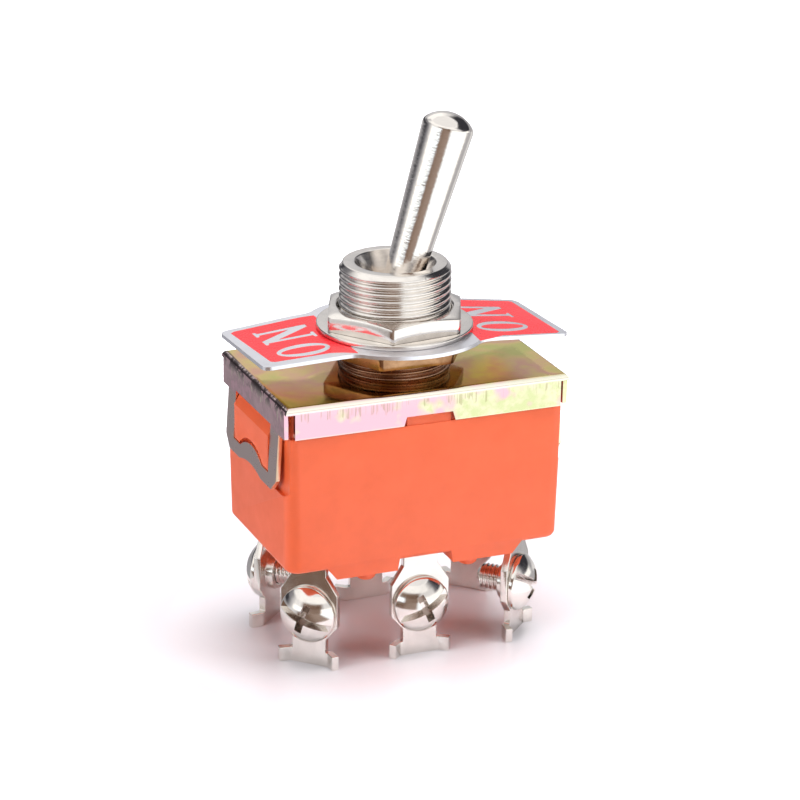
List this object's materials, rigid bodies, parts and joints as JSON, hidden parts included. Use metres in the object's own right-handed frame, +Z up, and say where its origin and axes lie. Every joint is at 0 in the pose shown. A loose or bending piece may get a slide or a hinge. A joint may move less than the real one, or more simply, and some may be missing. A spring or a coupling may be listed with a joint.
{
  "type": "panel toggle switch",
  "caption": "Panel toggle switch with a tapered metal lever, threaded bushing, nuts, label plate, folded cover over a moulded housing, and screw terminals.",
  "frame": {"origin": "on the bushing's axis, at the plane under the feet of the terminals, which is the middle of the object's footprint", "axes": "+Z up along the bushing, +X along the long side towards the way the lever leans, -Y the front face with the lug of the housing in the cover's notch"},
  "size_m": [0.0346, 0.0204, 0.0578],
  "materials": {
    "orange_moulding": "satin orange moulding with a soft sheen",
    "passivated_steel": "yellow passivated zinc plate with pink and green tints",
    "fibre_sheet": "vulcanised fibre sheet",
    "nickel_plate": "bright nickel plate",
    "lever_plate": "bright nickel plate over fine turning marks",
    "bright_aluminium": "polished sheet with red print",
    "spring_steel": "plain drawn steel",
    "black_moulding": "matt black moulding",
    "contact_brass": "rolled brass strip",
    "contact_silver": "pressed silver rivets"
  },
  "bodies": {
    "frame": {"housing": "orange_moulding", "cover_frame": "passivated_steel", "insulating_gasket": "fibre_sheet", "bushing": "nickel_plate", "lower_nut": "nickel_plate", "label_plate": "bright_aluminium", "flat_washer": "nickel_plate", "upper_nut": "nickel_plate", "terminal_front_left": "nickel_plate", "terminal_screw_front_left": "nickel_plate", "fixed_contact_front_left": "contact_silver", "terminal_front_centre": "nickel_plate", "terminal_screw_front_centre": "nickel_plate", "terminal_front_right": "nickel_plate", "terminal_screw_front_right": "nickel_plate", "fixed_contact_front_right": "contact_silver", "terminal_rear_left": "nickel_plate", "terminal_screw_rear_left": "nickel_plate", "fixed_contact_rear_left": "contact_silver", "terminal_rear_centre": "nickel_plate", "terminal_screw_rear_centre": "nickel_plate", "terminal_rear_right": "nickel_plate", "terminal_screw_rear_right": "nickel_plate", "fixed_contact_rear_right": "contact_silver"},
    "lever": {"toggle_lever": "lever_plate", "pivot_pin": "spring_steel", "lever_yoke": "black_moulding", "plunger_spring_front": "spring_steel", "plunger_spring_rear": "spring_steel"},
    "plunger_front": {"plunger_front": "nickel_plate"},
    "plunger_rear": {"plunger_rear": "nickel_plate"},
    "contact_arm_front": {"contact_arm_front": "contact_brass", "moving_contact_front_left": "contact_silver", "moving_contact_front_right": "contact_silver"},
    "contact_arm_rear": {"contact_arm_rear": "contact_brass", "moving_contact_rear_left": "contact_silver", "moving_contact_rear_right": "contact_silver"}
  },
  "joints": [
    {"name": "lever_toggle", "type": "hinge", "parent": "frame", "child": "lever", "pos_m": [0, 0, 0.0372], "axis": [0, -1, 0], "range_deg": [0, 34]},
    {"name": "contact_arm_front_rock", "type": "hinge", "parent": "frame", "child": "contact_arm_front", "pos_m": [0, -0.0043, 0.01904], "axis": [0, -1, 0], "range_deg": [-17, 0]},
    {"name": "plunger_front_press", "type": "slide", "parent": "lever", "child": "plunger_front", "axis": [0.2924, 0, 0.9563], "range_m": [0, 0.0012], "stiffness_N_per_m": 500, "springref_m": -0.0008, "deforming": ["plunger_spring_front"]},
    {"name": "contact_arm_rear_rock", "type": "hinge", "parent": "frame", "child": "contact_arm_rear", "pos_m": [0, 0.0043, 0.01904], "axis": [0, -1, 0], "range_deg": [-17, 0]},
    {"name": "plunger_rear_press", "type": "slide", "parent": "lever", "child": "plunger_rear", "axis": [0.2924, 0, 0.9563], "range_m": [0, 0.0012], "stiffness_N_per_m": 500, "springref_m": -0.0008, "deforming": ["plunger_spring_rear"]}
  ],
  "couplings": [
    {"joint": "contact_arm_front_rock", "follows": "lever_toggle", "ratio": -0.5},
    {"joint": "contact_arm_rear_rock", "follows": "lever_toggle", "ratio": -0.5}
  ]
}
